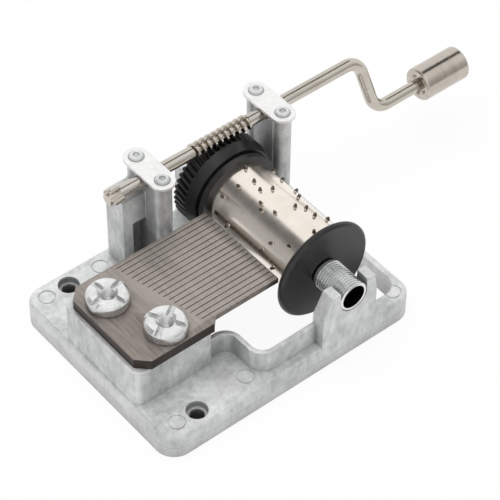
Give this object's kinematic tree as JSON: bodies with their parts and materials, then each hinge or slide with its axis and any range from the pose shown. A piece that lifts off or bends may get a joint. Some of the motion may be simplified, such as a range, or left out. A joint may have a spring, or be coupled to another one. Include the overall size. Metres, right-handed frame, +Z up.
{
  "type": "hand-crank cylinder music box movement",
  "caption": "Hand-crank music box movement: a bent wire crank turns a pinned cylinder through a worm and wheel, and its pins pluck a screwed-down steel comb on a cast bedplate.",
  "frame": {"origin": "on the underside of the bedplate, midway between its two mounting holes", "axes": "+X along the crank shaft towards the knob, +Y along the cylinder towards the worm wheel, +Z up"},
  "size_m": [0.086, 0.039, 0.0243],
  "materials": {
    "cast_zinc": "as-cast zinc, light grey",
    "strap_steel": "bright zinc plate",
    "nickel_wire": "nickel plate",
    "nickel_knob": "nickel plate, turned",
    "comb_steel": "ground, tempered brown-grey",
    "screw_zinc": "bright zinc plate",
    "sleeve_nickel": "nickel plate",
    "black_plastic": "satin black",
    "stud_steel": "bright zinc plate",
    "lead": "dull lead"
  },
  "bodies": {
    "frame": {"bedplate": "cast_zinc", "shaft_strap_left": "strap_steel", "shaft_strap_right": "strap_steel", "comb": "comb_steel", "comb_screw_front": "screw_zinc", "comb_screw_rear": "screw_zinc", "bearing_stud_front": "stud_steel", "bearing_stud_rear": "stud_steel", "tuning_weight_1": "lead", "tuning_weight_2": "lead", "tuning_weight_3": "lead", "tuning_weight_4": "lead", "tuning_weight_5": "lead", "tuning_weight_6": "lead", "tuning_weight_7": "lead", "tuning_weight_8": "lead"},
    "cylinder": {"cylinder_sleeve": "sleeve_nickel", "front_flange": "black_plastic", "worm_wheel": "black_plastic"},
    "crank": {"crank_shaft": "nickel_wire"},
    "knob": {"crank_knob": "nickel_knob"}
  },
  "joints": [
    {"name": "crank_spin", "type": "hinge", "parent": "frame", "child": "crank", "pos_m": [0, 0.01395, 0.02214], "axis": [1, 0, 0], "continuous": true},
    {"name": "cylinder_spin", "type": "hinge", "parent": "frame", "child": "cylinder", "pos_m": [0.0289, 0, 0.0128], "axis": [0, 1, 0], "continuous": true},
    {"name": "knob_spin", "type": "hinge", "parent": "crank", "child": "knob", "pos_m": [0.0738, 0.01046, 0.01255], "axis": [1, 0, 0], "continuous": true}
  ],
  "couplings": [
    {"joint": "cylinder_spin", "follows": "crank_spin", "ratio": -0.022222}
  ]
}
